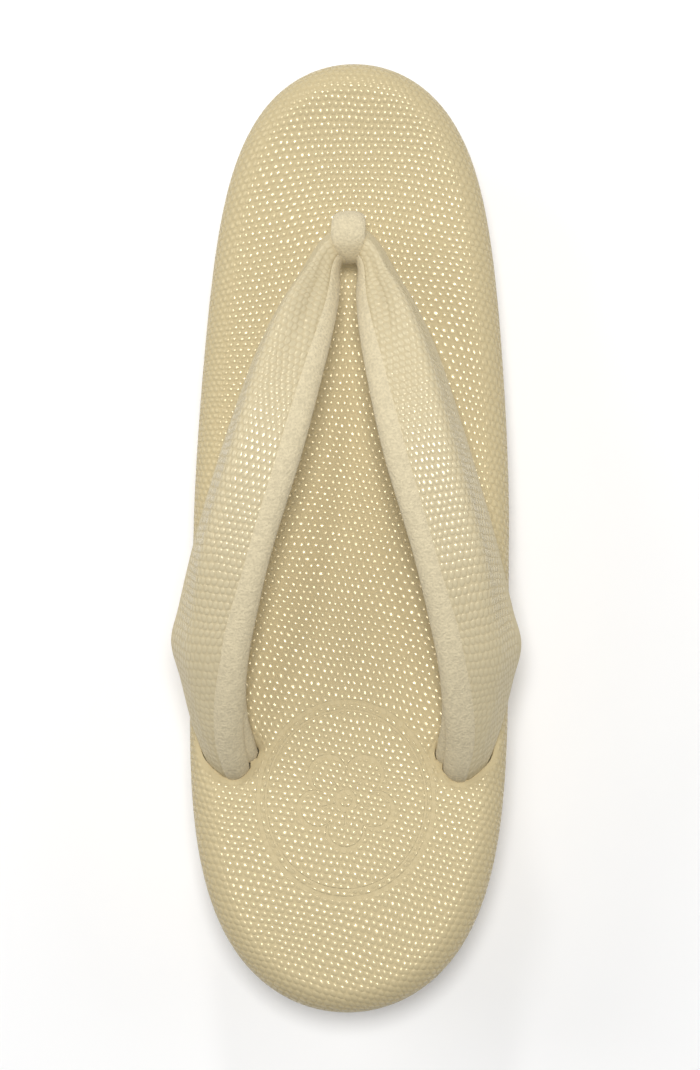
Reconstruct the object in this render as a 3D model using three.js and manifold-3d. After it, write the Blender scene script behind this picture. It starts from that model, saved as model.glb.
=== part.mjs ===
// A woman's zori sandal for either foot: a wedge sole, a padded footbed wrapped in pearl leather, and a
// padded thong strap that a suede loop holds between the toes.
//
// Millimetres, +Z up. The origin is on the floor under the middle of the sole. The toe points along -Y, the
// heel along +Y, and the two halves of the sandal mirror each other across the plane X = 0. "along" or "at" is
// a distance from the toe tip towards the heel, "up" a height above the footbed, and "inset" a distance in
// from the footbed's edge.

import * as THREE from "three";
import { mergeVertices } from "three/addons/utils/BufferGeometryUtils.js";
import Module from "manifold-3d";

const wasm = await Module();
wasm.setup();

// ---- Driving sizes ----

const LENGTH = 225;
const HALF_LENGTH = LENGTH / 2;
const HALF_WIDTH_AT_MIDDLE = 37.75;
const TOE_FULLNESS = { swell: 17.8, power: 3 };
const HEEL_FULLNESS = { swell: 21, power: 2 };

const CLEARANCE = 0.3;
const OUTLINE_POINTS = 80;

// Heights above the floor along the sole: the footbed's top, and the underside of the outsole.
const PROFILE = [
  { along: 0, top: 38.0, under: 11.0 },
  { along: 22, top: 35.2, under: 4.8 },
  { along: 45, top: 34.4, under: 0.9 },
  { along: 58, top: 34.5, under: 0 },
  { along: 80, top: 35.6, under: 0 },
  { along: 104, top: 38.2, under: 0 },
  { along: 134, top: 42.3, under: 3.0 },
  { along: 164, top: 46.3, under: 0 },
  { along: 190, top: 48.8, under: 0 },
  { along: 212, top: 49.8, under: 0 },
  { along: 225, top: 50.0, under: 1.8 },
];

// The footbed's edge is a big round above its widest line and a small one below it.
const FOOTBED = { thick: 12, roundIn: 7, roundDown: 7.5, roundSteps: 4 };

// How far the sole's walls stand in from the footbed's edge, on the flanks and at the toe and heel tips.
const UNDER_FOOTBED = { flank: 2.8, tip: 2.8 };
const WEDGE_WAIST = { flank: 3.6, tip: 5.2 };
const OVER_OUTSOLE = { flank: 5.2, tip: 8.4 };

const OUTSOLE = { thick: 3.6, edge: 0.8 };
const TREAD = { width: 2.4, depth: 1.5, forefoot: [60, 70, 80, 90, 100], heel: [170, 180, 190, 200, 210] };

// ---- The padded strap ----
// Half of the strap, from its bend in the toe loop to its end in the footbed. The rim is its inner, upper
// edge and the skirt its outer, lower edge, each with its distance from the plane X = 0, its place along the
// sole and its height up. Below 0 up, the strap is inside the footbed. The crown is how far the upper face
// stands out between the two edges.
const STRAP = [
  { rimX: 0, rimAt: 47.4, rimUp: 13.6, skirtX: 0, skirtAt: 39.0, skirtUp: 12.2, thick: 7.2, crown: 1.0 },
  { rimX: 1.9, rimAt: 50.4, rimUp: 15.8, skirtX: 5.4, skirtAt: 42.6, skirtUp: 12.0, thick: 7.2, crown: 1.4 },
  { rimX: 2.0, rimAt: 56.4, rimUp: 19.6, skirtX: 11.2, skirtAt: 52.2, skirtUp: 12.8, thick: 7.0, crown: 2.0 },
  { rimX: 3.0, rimAt: 64, rimUp: 25.0, skirtX: 16.4, skirtAt: 61.2, skirtUp: 14.4, thick: 7.2, crown: 2.6 },
  { rimX: 5.0, rimAt: 74, rimUp: 30.4, skirtX: 21.0, skirtAt: 71.4, skirtUp: 16.2, thick: 7.4, crown: 2.8 },
  { rimX: 9.4, rimAt: 92.7, rimUp: 35.0, skirtX: 27.4, skirtAt: 90.3, skirtUp: 17.6, thick: 7.8, crown: 2.4 },
  { rimX: 16.8, rimAt: 117, rimUp: 31.6, skirtX: 34.4, skirtAt: 113.8, skirtUp: 13.8, thick: 8.2, crown: 1.8 },
  { rimX: 21.0, rimAt: 135, rimUp: 25.4, skirtX: 39.0, skirtAt: 133, skirtUp: 8.6, thick: 8.4, crown: 1.2 },
  { rimX: 23.4, rimAt: 149.5, rimUp: 17.6, skirtX: 37.6, skirtAt: 145, skirtUp: 3.0, thick: 9.0, crown: 0.7 },
  { rimX: 23.8, rimAt: 160, rimUp: 9.4, skirtX: 35.6, skirtAt: 154.5, skirtUp: -0.6, thick: 9.8, crown: 0.3 },
  { rimX: 23.0, rimAt: 167.6, rimUp: 0.4, skirtX: 33.0, skirtAt: 161.4, skirtUp: -3.4, thick: 10.4, crown: 0 },
  { rimX: 23.8, rimAt: 168.4, rimUp: -8.6, skirtX: 31.6, skirtAt: 162.8, skirtUp: -9.0, thick: 9.4, crown: 0 },
];
const STRAP_SECTION = { points: 18, plump: 0.84, skirtShare: 0.8, stepsPerRow: 3 };

// ---- The toe loop ----
// Level slices through the suede loop and the post under it, from inside the footbed to its top.
const LOOP = [
  { up: -9.5, along: 45.4, halfDepth: 2.9, halfAcross: 3.4 },
  { up: 0, along: 45.2, halfDepth: 3.2, halfAcross: 3.6 },
  { up: 5, along: 45.0, halfDepth: 3.9, halfAcross: 3.5 },
  { up: 9, along: 44.6, halfDepth: 5.0, halfAcross: 3.4 },
  { up: 13, along: 44.0, halfDepth: 5.9, halfAcross: 3.4 },
  { up: 16.5, along: 43.4, halfDepth: 5.6, halfAcross: 3.5 },
  { up: 19.2, along: 43.0, halfDepth: 4.3, halfAcross: 3.6 },
  { up: 20.8, along: 42.9, halfDepth: 2.2, halfAcross: 3.0 },
];
const LOOP_SECTION = { points: 28, plump: 0.72, rearTaper: 0.3, stepsPerRow: 2 };

const COLOURS = {
  pearlLeather: { color: 0xd6c59b, roughness: 0.42, metalness: 0 },
  strapLeather: { color: 0xdacca4, roughness: 0.4, metalness: 0 },
  suede: { color: 0xdfd1ae, roughness: 0.95, metalness: 0 },
  foam: { color: 0xcdbb92, roughness: 0.8, metalness: 0 },
  rubber: { color: 0xb39f78, roughness: 0.85, metalness: 0 },
};

// ---- Curves ----

const yAt = (along) => along - HALF_LENGTH;
const alongAt = (y) => y + HALF_LENGTH;

// A smooth curve through one column of a table. It stays level between equal rows and never overshoots.
function smooth(rows, column, at) {
  const last = rows.length - 1;
  if (at <= rows[0].along) return rows[0][column];
  if (at >= rows[last].along) return rows[last][column];
  const slope = (k) => (rows[k + 1][column] - rows[k][column]) / (rows[k + 1].along - rows[k].along);
  const tangent = (k) => {
    if (k === 0 || k === last) return slope(Math.min(k, last - 1));
    const before = slope(k - 1);
    const after = slope(k);
    return before * after <= 0 ? 0 : (2 * before * after) / (before + after);
  };
  const i = rows.findIndex((row) => row.along > at) - 1;
  const span = rows[i + 1].along - rows[i].along;
  const t = (at - rows[i].along) / span;
  const rise = rows[i + 1][column] - rows[i][column];
  const bend = t * t * (3 - 2 * t);
  const leave = t * (1 - t) * (1 - t) * tangent(i) * span;
  const arrive = t * t * (1 - t) * tangent(i + 1) * span;
  return rows[i][column] + rise * bend + leave - arrive;
}

const footbedTop = (y) => smooth(PROFILE, "top", alongAt(y));
const soleUnder = (y) => smooth(PROFILE, "under", alongAt(y));

// Half the footbed's width at y: an oval that is fuller at the heel than at the toe.
function halfWidth(y) {
  const end = Math.min(1, Math.abs(y) / HALF_LENGTH);
  const fullness = y < 0 ? TOE_FULLNESS : HEEL_FULLNESS;
  return Math.sqrt(1 - end * end) * (HALF_WIDTH_AT_MIDDLE + fullness.swell * end ** fullness.power);
}

// The footbed's outline, counter-clockwise seen from above, with the outward direction at each point.
function outline() {
  const places = [];
  for (let i = 0; i < OUTLINE_POINTS; i++) {
    const turn = (2 * Math.PI * i) / OUTLINE_POINTS;
    const y = -HALF_LENGTH * Math.cos(turn);
    places.push(new THREE.Vector2(Math.sign(Math.sin(turn)) * halfWidth(y), y));
  }
  return places.map((place, i) => {
    const before = places[(i + OUTLINE_POINTS - 1) % OUTLINE_POINTS];
    const after = places[(i + 1) % OUTLINE_POINTS];
    const outward = new THREE.Vector2(after.y - before.y, before.x - after.x).normalize();
    return { place, outward };
  });
}

const OUTLINE = outline();

// The outline moved in by flank on the sides and by tip at the toe and heel, each point at height(y).
function insetRing(flank, tip, height) {
  return OUTLINE.map(({ place, outward }) => {
    const inset = flank + (tip - flank) * outward.y * outward.y;
    const moved = place.clone().addScaledVector(outward, -inset);
    return new THREE.Vector3(moved.x, moved.y, height(moved.y));
  });
}

// ---- Solids ----

// A closed solid skinned over rings with the same number of points. Each end ring is closed to its own middle.
function loft(rings) {
  const count = rings[0].length;
  const points = rings.flat();
  const indices = [];
  for (let r = 0; r + 1 < rings.length; r++) {
    for (let i = 0; i < count; i++) {
      const next = (i + 1) % count;
      const [a, b] = [r * count + i, r * count + next];
      const [c, d] = [a + count, b + count];
      indices.push(a, b, d, a, d, c);
    }
  }
  const middle = (ring) => ring.reduce((sum, p) => sum.add(p), new THREE.Vector3()).divideScalar(count);
  const lastStart = points.length - count;
  points.push(middle(rings[0]), middle(rings[rings.length - 1]));
  for (let i = 0; i < count; i++) {
    const next = (i + 1) % count;
    indices.push(next, i, points.length - 2);
    indices.push(lastStart + i, lastStart + next, points.length - 1);
  }
  const geometry = new THREE.BufferGeometry().setFromPoints(points);
  geometry.setIndex(indices);
  return geometry;
}

// A slice of the sole: walls skinned over rings from the lowest to the highest, with bars straight across the
// sandal to close the floor and the top, so that both follow the profile all the way along.
function soleSlice(rings) {
  const count = OUTLINE_POINTS;
  const indices = [];
  for (let r = 0; r + 1 < rings.length; r++) {
    for (let i = 0; i < count; i++) {
      const next = (i + 1) % count;
      const [a, b] = [r * count + i, r * count + next];
      const [c, d] = [a + count, b + count];
      indices.push(a, b, d, a, d, c);
    }
  }
  const head = (rings.length - 1) * count;
  for (let i = 0; i < count / 2; i++) {
    const [right, nextRight] = [i, i + 1];
    const [left, nextLeft] = [(count - i) % count, count - i - 1];
    if (nextRight !== nextLeft) {
      indices.push(nextLeft, nextRight, right);
      indices.push(head + right, head + nextRight, head + nextLeft);
    }
    if (right !== left) {
      indices.push(left, nextLeft, right);
      indices.push(head + right, head + nextLeft, head + left);
    }
  }
  const geometry = new THREE.BufferGeometry().setFromPoints(rings.flat());
  geometry.setIndex(indices);
  return geometry;
}

function solidOf(geometry) {
  const bare = geometry.clone();
  bare.deleteAttribute("normal");
  bare.deleteAttribute("uv");
  const merged = mergeVertices(bare, 1e-4);
  return new wasm.Manifold(
    new wasm.Mesh({
      numProp: 3,
      vertProperties: merged.attributes.position.array,
      triVerts: new Uint32Array(merged.index.array),
    }),
  );
}

function geometryOf(solid) {
  const mesh = solid.getMesh();
  const geometry = new THREE.BufferGeometry();
  geometry.setAttribute("position", new THREE.BufferAttribute(mesh.vertProperties, 3));
  geometry.setIndex(new THREE.BufferAttribute(mesh.triVerts, 1));
  geometry.computeVertexNormals();
  return geometry;
}

// ---- Strap ----

// The whole strap, from its end at +X through the bend to its end at -X. A grown one is bigger all over.
function strapGeometry(grow = 0) {
  const sides = [...STRAP.slice(1).reverse().map((row) => [row, 1]), ...STRAP.map((row) => [row, -1])];
  const rail = (edge) =>
    new THREE.CatmullRomCurve3(
      sides.map(([row, side]) => {
        const y = yAt(row[`${edge}At`]);
        return new THREE.Vector3(side * row[`${edge}X`], y, footbedTop(y) + row[`${edge}Up`]);
      }),
    );
  const body = new THREE.CatmullRomCurve3(sides.map(([row]) => new THREE.Vector3(row.thick, row.crown, 0)));
  const [rim, skirt] = [rail("rim"), rail("skirt")];
  const sections = (sides.length - 1) * STRAP_SECTION.stepsPerRow;
  const middleAt = (t) => rim.getPoint(t).add(skirt.getPoint(t)).multiplyScalar(0.5);

  const ringAt = (t, push) => {
    const width = skirt.getPoint(t).sub(rim.getPoint(t));
    const reach = width.length() / 2 + grow;
    const { x: thick, y: crown } = body.getPoint(t);
    const forward = middleAt(Math.min(1, t + 1e-3)).sub(middleAt(Math.max(0, t - 1e-3))).normalize();
    width.normalize();
    const outward = new THREE.Vector3().crossVectors(forward, width).normalize();
    const middle = middleAt(t).addScaledVector(forward, push);
    const ring = [];
    for (let i = 0; i < STRAP_SECTION.points; i++) {
      const turn = (2 * Math.PI * i) / STRAP_SECTION.points;
      const [c, s] = [Math.cos(turn), Math.sin(turn)];
      const toSkirt = Math.sign(c) * Math.abs(c) ** STRAP_SECTION.plump;
      const share = 1 - (1 - STRAP_SECTION.skirtShare) * (toSkirt + 1) * 0.5;
      const lift = Math.sign(s) * Math.abs(s) ** STRAP_SECTION.plump * ((thick / 2) * share + grow);
      ring.push(
        middle
          .clone()
          .addScaledVector(width, toSkirt * reach)
          .addScaledVector(outward, lift + crown * (1 - toSkirt * toSkirt)),
      );
    }
    return ring;
  };

  const rings = [];
  for (let k = 0; k <= sections; k++) {
    const push = k === 0 ? -grow : k === sections ? grow : 0;
    rings.push(ringAt(k / sections, push));
  }
  return loft(rings);
}

// ---- Toe loop ----

// The closed outer shape of the loop and its post, before the strap's way through it is cut.
function loopGeometry(grow = 0) {
  const base = footbedTop(yAt(LOOP[1].along));
  const centres = new THREE.CatmullRomCurve3(
    LOOP.map((row) => new THREE.Vector3(0, yAt(row.along), base + row.up)),
  );
  const halves = new THREE.CatmullRomCurve3(
    LOOP.map((row) => new THREE.Vector3(row.halfAcross, row.halfDepth, 0)),
  );
  const steps = (LOOP.length - 1) * LOOP_SECTION.stepsPerRow;
  const round = (value) => Math.sign(value) * Math.abs(value) ** LOOP_SECTION.plump;
  const rings = [];
  for (let k = 0; k <= steps; k++) {
    const centre = centres.getPoint(k / steps);
    const half = halves.getPoint(k / steps);
    const height = k === 0 ? centre.z - grow : centre.z;
    const ring = [];
    for (let i = 0; i < LOOP_SECTION.points; i++) {
      const turn = (2 * Math.PI * i) / LOOP_SECTION.points;
      const toRear = round(Math.sin(turn));
      const x = round(Math.cos(turn)) * (half.x * (1 - LOOP_SECTION.rearTaper * Math.max(0, toRear)) + grow);
      const y = toRear * (half.y + grow);
      ring.push(new THREE.Vector3(x, centre.y + y, height));
    }
    rings.push(ring);
  }
  return loft(rings);
}

// ---- Sole ----

function footbedGeometry() {
  const { thick, roundIn, roundDown, roundSteps } = FOOTBED;
  const rings = [];
  for (let k = 0; k < roundSteps; k++) {
    const turn = (Math.PI / 2) * (1 - k / roundSteps);
    const drop = roundDown + (thick - roundDown) * Math.sin(turn);
    const share = 1 - Math.cos(turn);
    rings.push(insetRing(UNDER_FOOTBED.flank * share, UNDER_FOOTBED.tip * share, (y) => footbedTop(y) - drop));
  }
  for (let k = 0; k <= roundSteps; k++) {
    const turn = ((Math.PI / 2) * k) / roundSteps;
    const drop = roundDown * (1 - Math.sin(turn));
    const inset = roundIn * (1 - Math.cos(turn));
    rings.push(insetRing(inset, inset, (y) => footbedTop(y) - drop));
  }
  return soleSlice(rings);
}

function wedgeGeometry() {
  const top = (y) => footbedTop(y) - FOOTBED.thick - CLEARANCE;
  const under = (y) => soleUnder(y) + OUTSOLE.thick + CLEARANCE;
  const middle = (y) => (top(y) + under(y)) / 2;
  return soleSlice([
    insetRing(OVER_OUTSOLE.flank, OVER_OUTSOLE.tip, under),
    insetRing(WEDGE_WAIST.flank, WEDGE_WAIST.tip, middle),
    insetRing(UNDER_FOOTBED.flank, UNDER_FOOTBED.tip, top),
  ]);
}

function outsoleGeometry() {
  const { thick, edge } = OUTSOLE;
  const { flank, tip } = OVER_OUTSOLE;
  return soleSlice([
    insetRing(flank + edge, tip + edge, soleUnder),
    insetRing(flank, tip, (y) => soleUnder(y) + edge),
    insetRing(flank, tip, (y) => soleUnder(y) + thick),
  ]);
}

function treadCutter(along) {
  const groove = new THREE.BoxGeometry(2 * HALF_LENGTH, TREAD.width, 2 * TREAD.depth);
  groove.translate(0, yAt(along), 0);
  return solidOf(groove);
}

// ---- Assembly ----

const grownStrap = solidOf(strapGeometry(CLEARANCE));
const grownLoop = solidOf(loopGeometry(CLEARANCE));

const strap = solidOf(strapGeometry());
const loop = solidOf(loopGeometry()).subtract(grownStrap);
const footbed = solidOf(footbedGeometry()).subtract(grownStrap).subtract(grownLoop);
const wedge = solidOf(wedgeGeometry());
const outsole = [...TREAD.forefoot, ...TREAD.heel].reduce(
  (sole, along) => sole.subtract(treadCutter(along)),
  solidOf(outsoleGeometry()),
);

function named(name, solid, finish) {
  const mesh = new THREE.Mesh(geometryOf(solid), new THREE.MeshStandardMaterial(finish));
  mesh.name = name;
  return mesh;
}

const zori = new THREE.Group();
zori.name = "zori_sandal";
zori.add(named("outsole", outsole, COLOURS.rubber));
zori.add(named("wedge_sole", wedge, COLOURS.foam));
zori.add(named("footbed", footbed, COLOURS.pearlLeather));
zori.add(named("thong_strap", strap, COLOURS.strapLeather));
zori.add(named("toe_loop", loop, COLOURS.suede));

export default zori;
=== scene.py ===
"""A woman's zori sandal: rubber outsole, foam wedge, leather footbed, padded thong strap and suede toe loop.

Lengths in the tables below are millimetres and become metres as the pieces are placed. The toe points
along -Y, the heel along +Y, and the sandal mirrors itself across X = 0. "at" is a distance from the toe
tip towards the heel, and "up" a height above the footbed's top.
"""

import math
from types import SimpleNamespace

import bmesh
import bpy
from mathutils import Matrix, Vector


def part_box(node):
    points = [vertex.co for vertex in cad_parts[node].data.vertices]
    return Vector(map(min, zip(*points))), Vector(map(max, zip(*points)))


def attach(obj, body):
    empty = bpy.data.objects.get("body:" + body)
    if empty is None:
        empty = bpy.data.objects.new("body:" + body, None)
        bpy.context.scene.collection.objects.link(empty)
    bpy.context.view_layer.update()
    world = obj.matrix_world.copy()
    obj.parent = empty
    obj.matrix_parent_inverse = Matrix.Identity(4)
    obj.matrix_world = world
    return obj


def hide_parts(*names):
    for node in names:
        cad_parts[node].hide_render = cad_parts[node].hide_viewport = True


bl_info = {
    "name": "Zori sandal",
    "version": (1, 0, 0),
    "blender": (4, 5, 0),
    "location": "3D View > Sidebar > Zori",
    "description": "Builds a zori sandal round its packed solids, one operator for each piece",
    "category": "Add Mesh",
}

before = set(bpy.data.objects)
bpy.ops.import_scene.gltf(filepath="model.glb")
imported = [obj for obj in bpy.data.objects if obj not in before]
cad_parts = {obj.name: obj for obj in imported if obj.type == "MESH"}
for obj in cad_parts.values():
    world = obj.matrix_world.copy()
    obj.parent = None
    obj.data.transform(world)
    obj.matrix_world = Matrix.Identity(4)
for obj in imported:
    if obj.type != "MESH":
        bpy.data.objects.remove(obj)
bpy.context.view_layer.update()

MM = 0.001
TOE_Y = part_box("footbed")[0].y / MM
HALF_LENGTH = (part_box("footbed")[1].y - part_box("footbed")[0].y) / MM / 2


def table(columns, *rows):
    """Rows of numbers under the names of their columns."""
    return [dict(zip(columns.split(), row)) for row in rows]


# Heights above the floor along the sole: the footbed's top, and the underside of the outsole.
PROFILE = table(
    "at top under",
    (0, 38.0, 11.0),
    (22, 35.2, 4.8),
    (45, 34.4, 0.9),
    (58, 34.5, 0),
    (80, 35.6, 0),
    (104, 38.2, 0),
    (134, 42.3, 3.0),
    (164, 46.3, 0),
    (190, 48.8, 0),
    (212, 49.8, 0),
    (225, 50.0, 1.8),
)

# Where the outsole's grooves lie, from the toe tip.
TREAD = (60, 70, 80, 90, 100, 170, 180, 190, 200, 210)

# How far the sole's walls stand in from the footbed's outline, on the flanks and at the toe and heel tips.
# The outsole's rings lie "up" above its underside, and the last one's insets go on to its top. The wedge's
# wall is a little hollow from low to high, with a ring at each share of its height and a bevel at both ends.
OUTSOLE_RINGS = table(
    "flank tip up",
    (6.2, 9.4, 0),
    (5.6, 8.8, 0.2),
    (5.2, 8.4, 0.9),
)
WEDGE_LOW = {"flank": 5.2, "tip": 8.4, "bevel": 0.6}
WEDGE_HIGH = {"flank": 2.8, "tip": 2.8, "bevel": 0.4}
WEDGE_HOLLOW = 0.4
WEDGE_SHARES = (0.03, 0.12, 0.3, 0.5, 0.7, 0.88, 0.97)
FOOTBED_TUCK = 2.8

# The distance from the origin, along Y, of the middles of the sole's round ends in millimetres, and of the
# flower pressed into the footbed's heel in metres.
CAP_MIDDLE = 75
FLOWER_Y = 0.062

# The leather's lip round the pockets. An edge sharper than "sharp" degrees, near the top and away from the
# footbed's own edge, is a rim. The leather turns down by "drop" at a rim and less within "reach" of it, and
# LIP_CALM is where its grain is stretched flat. The depths say how far below the top each of these goes.
LIP = {"sharp": 40, "rim_deep": 3.5, "from_edge": 2, "drop": 1.0, "reach": 2.2, "turn_deep": 4.5}
LIP_CALM = {"reach": 2.6, "deep": 9}

# Half of the strap, from its bend in the toe loop to its end in the footbed. The rim is its inner, upper
# edge and the skirt its outer, lower edge, each as (distance from the plane X = 0, at, up). The crown is how
# far the upper face stands out between them, swell how much more its padding lifts the middle of the cover,
# and the roll how far the suede lining reaches over the rim.
STRAP = table(
    "rim skirt thick crown swell roll",
    ((0, 47.2, 13.6), (0, 38.8, 12.2), 7.2, 1.0, 0, 1.2),
    ((1.9, 50.2, 15.8), (5.4, 42.2, 12.0), 7.2, 1.4, 1.4, 1.1),
    ((2.0, 56.4, 19.6), (11.2, 51.8, 13.8), 7.0, 2.0, 2.8, 1.3),
    ((3.0, 64, 25.0), (16.4, 60.9, 16.4), 7.2, 2.6, 3.8, 1.6),
    ((5.0, 74, 30.4), (21.0, 71.4, 18.6), 7.4, 2.8, 4.0, 2.2),
    ((9.4, 92.7, 35.0), (27.4, 90.3, 20.2), 7.8, 2.4, 4.0, 2.9),
    ((16.8, 117, 31.6), (34.4, 113.8, 16.4), 8.2, 1.8, 3.8, 2.8),
    ((20.6, 133, 26.0), (38.4, 129.5, 12.0), 8.4, 1.2, 2.4, 3.9),
    ((22.0, 140, 23.0), (40.3, 137, 8.0), 8.4, 1.0, 2.0, 4.3),
    ((23.4, 149.5, 17.6), (38.2, 145, 3.0), 9.0, 0.7, 1.4, 4.6),
    ((23.8, 160, 9.4), (35.6, 154.5, -0.6), 9.8, 0.3, 0.6, 4.4),
    ((23.0, 167.6, 0.4), (33.0, 161.4, -3.4), 10.4, 0, 0, 3.4),
    ((23.8, 168.4, -8.6), (31.6, 162.8, -9.0), 9.4, 0, 0, 2.6),
)
STRAP_PLUMP = 0.84
STRAP_SKIRT_SHARE = 0.8
STRAP_WALL = 1.1
STRAP_LENGTH = 284.3

# The padding's ridge across the section, and how the toe loop squeezes the strap at its bend.
RIDGE = {"place": -0.05, "wide": 0.42}
SQUEEZE = {"share": 0.13, "wide": 4.5}

# The cover meets the lining under the strap, at this angle round its section, and both edges are folded in.
UNDER_SEAM = -0.75
SEAM_FOLD = {"deep": 0.22, "cover": 0.9, "lining": 1.0}

# Near its end the lining has a crease and a lobe below it. "turn" is an angle round the section.
END_FOLD = {"from": 148, "over": 12}
CREASE = {"turn": 0.30, "wide": 0.16, "deep": 1.0}
LOBE = {"turn": 0.95, "wide": 0.42, "high": 1.3}

# Folds in the strap's cover: which half (1 at +X, -1 at -X, 0 both), where they start and end along the
# sandal, their place across the section (-1 rim, 1 skirt) and how it drifts, and their size.
FOLDS = table(
    "side from to place drift wide deep",
    (0, 46, 68, -0.40, -0.10, 0.10, 0.55),
    (0, 49, 63, -0.16, -0.14, 0.06, 0.3),
    (1, 50, 78, -0.62, 0.16, 0.07, 0.35),
    (-1, 52, 72, -0.56, 0.05, 0.07, 0.35),
    (0, 46, 58, 0.18, 0.0, 0.07, 0.25),
    (1, 84, 128, 0.30, 0.10, 0.2, 0.35),
    (-1, 92, 132, 0.32, 0.05, 0.2, 0.35),
    (0, 140, 168, 0.30, -0.2, 0.2, 0.35),
)

# The toe loop's band: its middle line in the plane X = 0, from the footbed up its front, over the strap's
# bend and down its back, with the band's width and thickness and how far its middle bulges out.
LOOP = table(
    "at up wide thick bulge",
    (44.0, -8.6, 5.6, 1.9, 0.35),
    (43.8, 0.5, 5.6, 1.9, 0.35),
    (42.6, 4.6, 5.4, 1.9, 0.4),
    (39.8, 8.0, 5.6, 1.9, 0.45),
    (38.4, 11.2, 6.4, 1.8, 0.55),
    (38.2, 14.2, 7.3, 1.9, 0.6),
    (39.2, 17.0, 7.8, 2.2, 0.6),
    (41.2, 18.6, 8.0, 2.5, 0.5),
    (43.5, 18.8, 7.9, 2.5, 0.4),
    (45.9, 17.2, 7.5, 2.2, 0.35),
    (47.5, 14.6, 6.8, 2.0, 0.35),
    (47.8, 11.6, 5.8, 1.9, 0.35),
    (47.0, 8.4, 5.2, 1.9, 0.35),
    (46.1, 5.0, 5.4, 1.9, 0.35),
    (46.1, -8.6, 5.6, 1.9, 0.35),
)
LOOP_FOOT = 45.2
LOOP_CORNERS = {"across": 0.6, "through": 0.7}

# The studio lights, in metres and watts.
LIGHTS = table(
    "name place aim size watts",
    ("overhead", (-0.05, -0.15, 1.31), (0, 0, 0), 0.26, 11.3),
    ("front", (0.06, -0.95, 0.8), (0, -0.03, 0), 0.13, 2.2),
    ("key", (0.85, -0.4, 0.6), (0, 0, 0), 0.8, 3.6),
    ("fill", (-0.85, -0.3, 0.6), (0, 0, 0), 0.8, 1.9),
)
CAMERA = {"eye": (-0.038, -0.0062, 0.781), "target": (0, 0, 0.036), "lens": 70.4, "sensor": 24, "roll": 0.38}


# ---- Settings ----


class ZoriSizes(bpy.types.PropertyGroup):
    def length(name, description, default):
        return bpy.props.FloatProperty(
            name=name, description=description, default=default, min=0, unit="LENGTH", precision=5
        )

    half_width: length("Half width", "Half the footbed's width at its middle", 0.03775)
    toe_swell: length("Toe fullness", "How much the toe's outline swells beyond an oval", 0.0178)
    heel_swell: length("Heel fullness", "How much the heel's outline swells beyond an oval", 0.021)
    footbed_thick: length("Footbed thickness", "From the footbed's top to its underside", 0.012)
    round_in: length("Edge round, across", "How far in the footbed's rounded edge starts", 0.007)
    round_down: length("Edge round, down", "Depth of the footbed's widest line below its top", 0.0075)
    outsole_thick: length("Outsole thickness", "Thickness of the rubber sheet", 0.0036)
    clearance: length("Clearance", "Gap between pieces that meet", 0.0003)
    del length


class ZoriColours(bpy.types.PropertyGroup):
    def colour(name, description, default):
        return bpy.props.FloatVectorProperty(
            name=name, description=description, default=default, subtype="COLOR", size=3, min=0, max=1
        )

    # The valley colours are darker than the bead colours as painted shade in the grain's hollows. The bead colours
    # are partly the pearl finish and partly a painted highlight on the bead tops.
    footbed_valley: colour("Footbed between the beads", "Colour low in the footbed's grain", (0.545, 0.45, 0.26))
    footbed_bead: colour("Footbed beads", "Colour of the raised beads of the footbed's grain", (0.59, 0.495, 0.295))
    # The strap is the footbed's leather; its colours are paler than the footbed's as painted light on the strap,
    # with the same painted shade in the valleys and painted highlight on the beads.
    strap_valley: colour("Strap between the beads", "Colour low in the strap's grain", (0.565, 0.478, 0.30))
    strap_bead: colour("Strap beads", "Colour of the raised beads of the strap's grain", (0.635, 0.55, 0.36))
    suede: colour("Suede", "Colour of the lining and the toe loop", (0.645, 0.56, 0.377))
    foam: colour("Foam", "Colour of the wedge sole", (0.60, 0.49, 0.30))
    rubber: colour("Rubber", "Colour of the outsole", (0.36, 0.26, 0.14))
    del colour


# ---- Curves ----


def sizes_in_mm():
    """The sizes set in the panel, in the millimetres that the tables use."""
    sizes = bpy.context.scene.zori_sizes
    return SimpleNamespace(**{name: getattr(sizes, name) / MM for name in ZoriSizes.__annotations__})


def y_of(at):
    """The place along Y, in millimetres, of a distance from the toe tip."""
    return TOE_Y + at


def smooth(rows, column, at):
    """A smooth curve through one column of a table, level between equal rows and never overshooting."""
    last = len(rows) - 1
    if at <= rows[0]["at"]:
        return rows[0][column]
    if at >= rows[last]["at"]:
        return rows[last][column]

    def slope(k):
        return (rows[k + 1][column] - rows[k][column]) / (rows[k + 1]["at"] - rows[k]["at"])

    def tangent(k):
        if k in (0, last):
            return slope(min(k, last - 1))
        before, after = slope(k - 1), slope(k)
        return 0 if before * after <= 0 else 2 * before * after / (before + after)

    i = next(k for k, row in enumerate(rows) if row["at"] > at) - 1
    span = rows[i + 1]["at"] - rows[i]["at"]
    t = (at - rows[i]["at"]) / span
    rise = rows[i + 1][column] - rows[i][column]
    leave = t * (1 - t) * (1 - t) * tangent(i) * span
    arrive = t * t * (1 - t) * tangent(i + 1) * span
    return rows[i][column] + rise * t * t * (3 - 2 * t) + leave - arrive


def top_at(y):
    """Height of the footbed's top at y."""
    return smooth(PROFILE, "top", y - TOE_Y)


def under_at(y):
    """Height of the outsole's underside at y."""
    return smooth(PROFILE, "under", y - TOE_Y)


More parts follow.
